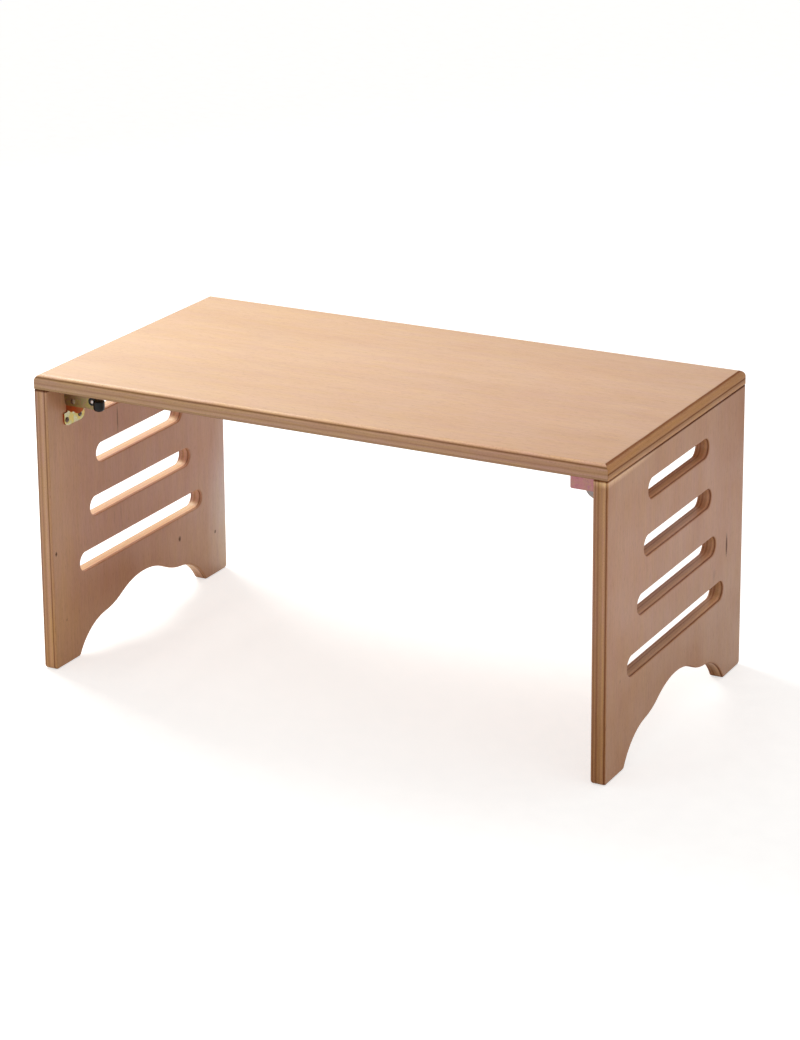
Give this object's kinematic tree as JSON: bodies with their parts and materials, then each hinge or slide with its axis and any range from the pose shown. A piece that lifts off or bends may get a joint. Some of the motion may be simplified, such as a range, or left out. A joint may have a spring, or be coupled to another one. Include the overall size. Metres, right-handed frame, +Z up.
{
  "type": "folding low table",
  "caption": "Plywood low table with a rounded-over board and slotted panel legs that fold flat under it on locking steel brackets.",
  "frame": {"origin": "on the floor, below the middle of the board", "axes": "+X along the board's long side, +Y from the front edge to the back edge, +Z up from the floor"},
  "size_m": [0.75, 0.4, 0.375],
  "materials": {
    "board_wood": "satin clear coat",
    "leg_wood": "satin clear coat",
    "bracket_zinc": "yellow zinc plating",
    "rivet_steel": "bright zinc plating",
    "screw_steel": "bright zinc plating",
    "spring_steel": "drawn wire",
    "grip_plastic": "smooth black moulding"
  },
  "bodies": {
    "tabletop": {"tabletop": "board_wood", "front_left_table_bracket": "bracket_zinc", "front_left_pivot_rivet": "rivet_steel", "front_left_pivot_washer": "rivet_steel", "front_left_table_screws": "screw_steel", "front_left_latch_rivet": "rivet_steel", "front_left_latch_washer": "rivet_steel", "front_left_latch_spring": "spring_steel", "back_left_table_bracket": "bracket_zinc", "back_left_pivot_rivet": "rivet_steel", "back_left_pivot_washer": "rivet_steel", "back_left_table_screws": "screw_steel", "front_right_table_bracket": "bracket_zinc", "front_right_pivot_rivet": "rivet_steel", "front_right_pivot_washer": "rivet_steel", "front_right_table_screws": "screw_steel", "back_right_table_bracket": "bracket_zinc", "back_right_pivot_rivet": "rivet_steel", "back_right_pivot_washer": "rivet_steel", "back_right_table_screws": "screw_steel", "back_right_latch_rivet": "rivet_steel", "back_right_latch_washer": "rivet_steel", "back_right_latch_spring": "spring_steel"},
    "left_leg": {"left_leg_panel": "leg_wood", "front_left_leg_bracket": "bracket_zinc", "front_left_leg_screws": "screw_steel", "back_left_leg_bracket": "bracket_zinc", "back_left_leg_screws": "screw_steel"},
    "right_leg": {"right_leg_panel": "leg_wood", "front_right_leg_bracket": "bracket_zinc", "front_right_leg_screws": "screw_steel", "back_right_leg_bracket": "bracket_zinc", "back_right_leg_screws": "screw_steel"},
    "front_left_latch": {"front_left_latch_arm": "bracket_zinc", "front_left_thumb_grip": "grip_plastic"},
    "back_right_latch": {"back_right_latch_arm": "bracket_zinc", "back_right_thumb_grip": "grip_plastic"}
  },
  "joints": [
    {"name": "left_leg_fold", "type": "hinge", "parent": "tabletop", "child": "left_leg", "pos_m": [-0.345, 0, 0.335], "axis": [0, -1, 0], "range_deg": [0, 90]},
    {"name": "right_leg_fold", "type": "hinge", "parent": "tabletop", "child": "right_leg", "pos_m": [0.345, 0, 0.335], "axis": [0, 1, 0], "range_deg": [0, 90]},
    {"name": "front_left_latch_turn", "type": "hinge", "parent": "tabletop", "child": "front_left_latch", "pos_m": [-0.3162, -0.159, 0.3394], "axis": [0, 1, 0], "range_deg": [0, 12], "stiffness_Nm_per_rad": 0.1, "springref_deg": 34.38},
    {"name": "back_right_latch_turn", "type": "hinge", "parent": "tabletop", "child": "back_right_latch", "pos_m": [0.3162, 0.159, 0.3394], "axis": [0, -1, 0], "range_deg": [0, 12], "stiffness_Nm_per_rad": 0.1, "springref_deg": 34.38}
  ]
}
